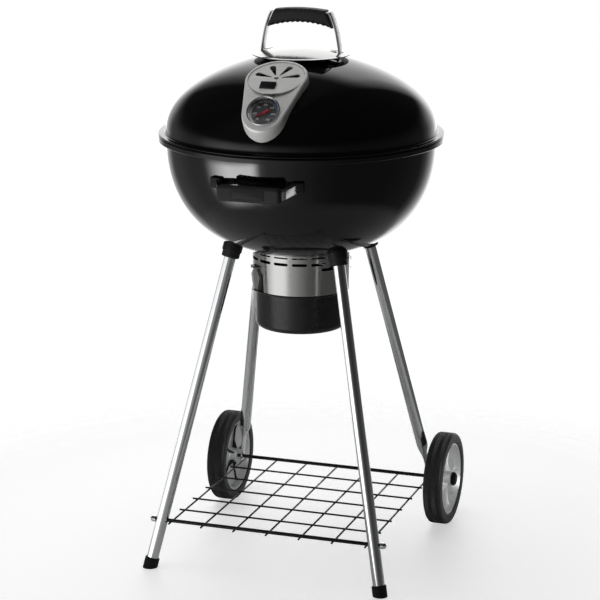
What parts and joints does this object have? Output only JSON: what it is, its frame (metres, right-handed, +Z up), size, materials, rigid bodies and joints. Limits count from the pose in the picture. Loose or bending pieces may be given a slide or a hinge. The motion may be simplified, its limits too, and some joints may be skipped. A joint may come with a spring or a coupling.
{
  "type": "kettle charcoal grill",
  "caption": "Kettle charcoal grill with a lift-off domed lid, lid vent and thermometer, ash catcher, splayed legs, wire rack and wheels.",
  "frame": {"origin": "on the ground below the middle of the bowl", "axes": "+Z up, -Y to the front where the bowl handle and the lid vent are, +X to the right seen from the front"},
  "size_m": [0.6, 0.6656, 1.1767],
  "materials": {
    "black_enamel": "high-gloss black porcelain enamel on steel",
    "stainless": "bright brushed stainless sheet",
    "steel_parts": "plain bright steel fastenings and inner parts",
    "chrome_legs": "mirror-bright plated tube",
    "bright_chrome": "polished plated trim",
    "cast_housing": "satin die-cast housing, warm silver",
    "black_plastic": "fine-textured heat-resistant black plastic",
    "black_rubber": "moulded black rubber",
    "tyre_rubber": "solid black treaded tyre",
    "wheel_plastic": "silver-grey moulded wheel",
    "black_steel": "satin black coated steel",
    "grate_steel": "round steel rod, lightly darkened",
    "dial_face": "printed dark dial",
    "needle_paint": "red painted pointer",
    "lens_glass": "clear glass lens"
  },
  "bodies": {
    "stand": {"bowl_shell": "black_enamel", "bowl_handle_strap": "stainless", "ash_skirt": "stainless", "latch_pin_left": "steel_parts", "latch_pin_right": "steel_parts", "leg_front_left": "chrome_legs", "leg_front_right": "chrome_legs", "leg_rear_left": "chrome_legs", "leg_rear_right": "chrome_legs", "rack_nut_left": "bright_chrome", "rack_nut_right": "bright_chrome", "bowl_handle_grip": "black_plastic", "bowl_handle_mount_left": "black_plastic", "bowl_handle_mount_right": "black_plastic", "axle_cap_left": "black_plastic", "axle_cap_right": "black_plastic", "leg_boot_front_left": "black_plastic", "leg_boot_front_right": "black_plastic", "leg_boot_rear_left": "black_plastic", "leg_boot_rear_right": "black_plastic", "foot_cap_left": "black_rubber", "foot_cap_right": "black_rubber", "wire_rack": "black_steel", "axle": "black_steel", "grate_bracket_1": "black_steel", "grate_bracket_2": "black_steel", "grate_bracket_3": "black_steel", "grate_bracket_4": "black_steel", "cooking_grate": "grate_steel", "charcoal_grate": "grate_steel"},
    "lid": {"lid_shell": "black_enamel", "heat_shield": "stainless", "lid_handle_bail": "stainless", "lid_handle_grip": "black_plastic", "lid_handle_pad_left": "black_plastic", "lid_handle_pad_right": "black_plastic", "lid_handle_bolt_left": "steel_parts", "lid_handle_bolt_right": "steel_parts", "vent_bezel": "cast_housing", "vent_damper_pin": "steel_parts", "thermometer_case": "steel_parts", "thermometer_ring": "bright_chrome", "thermometer_lens": "lens_glass", "thermometer_dial": "dial_face", "thermometer_stem": "steel_parts"},
    "vent_damper": {"vent_damper": "cast_housing", "vent_damper_tab": "black_plastic"},
    "needle": {"thermometer_needle": "needle_paint"},
    "ash_pot": {"ash_pot": "black_steel"},
    "latch_left": {"latch_left": "stainless"},
    "latch_right": {"latch_right": "stainless"},
    "ash_sweep": {"ash_sweep": "steel_parts", "sweep_shaft": "steel_parts", "sweep_lever": "steel_parts", "lever_knob": "black_plastic"},
    "wheel_left": {"tyre_left": "tyre_rubber", "wheel_left": "wheel_plastic"},
    "wheel_right": {"tyre_right": "tyre_rubber", "wheel_right": "wheel_plastic"}
  },
  "joints": [
    {"name": "lid_lift", "type": "slide", "parent": "stand", "child": "lid", "axis": [0, 0, 1], "range_m": [0, 0.35]},
    {"name": "damper_turn", "type": "hinge", "parent": "lid", "child": "vent_damper", "pos_m": [0.00807, -0.17762, 1.057], "axis": [0.0185, -0.4063, 0.9135], "range_deg": [0, 25]},
    {"name": "needle_turn", "type": "hinge", "parent": "lid", "child": "needle", "pos_m": [0.01208, -0.26593, 1.0024], "axis": [0.0337, -0.7424, 0.6691], "range_deg": [-250, 0]},
    {"name": "pot_drop", "type": "slide", "parent": "stand", "child": "ash_pot", "axis": [0, 0, -1], "range_m": [0, 0.15]},
    {"name": "latch_left_swing", "type": "hinge", "parent": "stand", "child": "latch_left", "pos_m": [-0.07743, -0.07743, 0.634], "axis": [-0.7071, 0.7071, 0], "range_deg": [0, 50]},
    {"name": "latch_right_swing", "type": "hinge", "parent": "stand", "child": "latch_right", "pos_m": [0.07743, 0.07743, 0.634], "axis": [0.7071, -0.7071, 0], "range_deg": [0, 50]},
    {"name": "sweep_turn", "type": "hinge", "parent": "stand", "child": "ash_sweep", "pos_m": [0, 0, 0.639], "axis": [0, 0, 1], "range_deg": [-16, 16]},
    {"name": "wheel_left_spin", "type": "hinge", "parent": "stand", "child": "wheel_left", "pos_m": [-0.2557, 0.2371, 0.1025], "axis": [1, 0, 0], "continuous": true},
    {"name": "wheel_right_spin", "type": "hinge", "parent": "stand", "child": "wheel_right", "pos_m": [0.2557, 0.2371, 0.1025], "axis": [1, 0, 0], "continuous": true}
  ]
}
